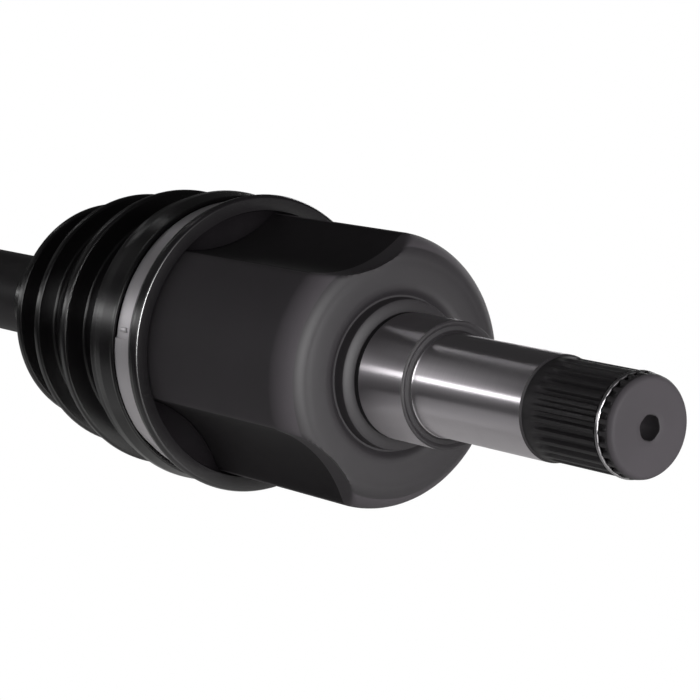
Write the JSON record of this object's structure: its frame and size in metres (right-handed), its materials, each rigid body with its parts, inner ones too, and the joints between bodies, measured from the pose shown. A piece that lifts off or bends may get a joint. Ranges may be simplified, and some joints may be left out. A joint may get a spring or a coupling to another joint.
{
  "type": "drive shaft",
  "caption": "Half shaft with a plunging tripod joint, splined stub, bellows boots and banded ends, a solid bar and a fixed ball joint with threaded stub.",
  "frame": {"origin": "axis of the tripod joint's stub, at the shoulder where its large ground journal begins", "axes": "+X along the shaft towards the splined tip of the tripod joint's stub, -Z along one roller track, +Y by the right-hand rule"},
  "size_m": [0.6697, 0.0978, 0.0978],
  "materials": {
    "forged_black": "satin black coated forging, ground journals",
    "bar_black": "semi-gloss black coated steel bar",
    "boot_rubber": "satin moulded rubber",
    "band_steel": "brushed stainless band",
    "hardened_steel": "ground hardened steel",
    "bearing_steel": "polished bearing steel",
    "spring_steel": "bright spring steel",
    "zinc_steel": "zinc plated steel"
  },
  "bodies": {
    "tulip": {"inner_housing": "forged_black", "stub_circlip": "spring_steel", "boot_bushing": "boot_rubber", "inner_boot": "boot_rubber", "inner_large_clamp": "band_steel", "tulip_stop_ring": "spring_steel"},
    "carriage": {"inner_ring_2": "bearing_steel", "inner_ring_3": "bearing_steel", "needles_2": "bearing_steel", "needles_3": "bearing_steel", "snap_rings_2": "spring_steel", "snap_rings_3": "spring_steel"},
    "low_cartridge": {"inner_ring_1": "bearing_steel", "needles_1": "bearing_steel", "snap_rings_1": "spring_steel"},
    "roller_low": {"roller_1": "bearing_steel"},
    "roller_right": {"roller_2": "bearing_steel"},
    "roller_left": {"roller_3": "bearing_steel"},
    "bar": {"shaft_bar": "bar_black", "spider": "hardened_steel", "spider_circlip": "spring_steel", "spider_stop_ring": "spring_steel", "inner_small_clamp": "band_steel", "ball_race": "hardened_steel", "race_circlip": "spring_steel", "race_stop_ring": "spring_steel", "outer_small_clamp": "band_steel"},
    "cage": {"ball_cage": "hardened_steel", "balls": "bearing_steel"},
    "bell": {"bell": "forged_black", "outer_boot": "boot_rubber", "outer_large_clamp": "band_steel", "axle_nut": "zinc_steel"}
  },
  "joints": [
    {"name": "inner_plunge", "type": "slide", "parent": "tulip", "child": "carriage", "axis": [1, 0, 0], "range_m": [-0.015, 0.015]},
    {"name": "inner_bend", "type": "hinge", "parent": "carriage", "child": "bar", "pos_m": [-0.0565, 0, 0.01375], "axis": [0, 1, 0], "range_deg": [-15, 15], "deforming": ["inner_boot"]},
    {"name": "low_roller_shift", "type": "slide", "parent": "carriage", "child": "low_cartridge", "axis": [1, 0, 0], "range_m": [-0.0108, 0.0108]},
    {"name": "roller_spin_low", "type": "hinge", "parent": "low_cartridge", "child": "roller_low", "pos_m": [-0.0565, 0, -0.0275], "axis": [0, 0, -1], "continuous": true},
    {"name": "roller_spin_right", "type": "hinge", "parent": "carriage", "child": "roller_right", "pos_m": [-0.0565, 0.02382, 0.01375], "axis": [0, 0.866, 0.5], "continuous": true},
    {"name": "roller_spin_left", "type": "hinge", "parent": "carriage", "child": "roller_left", "pos_m": [-0.0565, -0.02382, 0.01375], "axis": [0, -0.866, 0.5], "continuous": true},
    {"name": "outer_bend", "type": "hinge", "parent": "bar", "child": "bell", "pos_m": [-0.43, 0, 0], "axis": [0, 1, 0], "range_deg": [-40, 40], "deforming": ["outer_boot"]},
    {"name": "cage_half_turn", "type": "hinge", "parent": "bar", "child": "cage", "pos_m": [-0.43, 0, 0], "axis": [0, 1, 0], "range_deg": [-20, 20]}
  ],
  "couplings": [
    {"joint": "low_roller_shift", "follows": "inner_bend", "m_per_rad": -0.0409},
    {"joint": "cage_half_turn", "follows": "outer_bend", "ratio": 0.5}
  ]
}
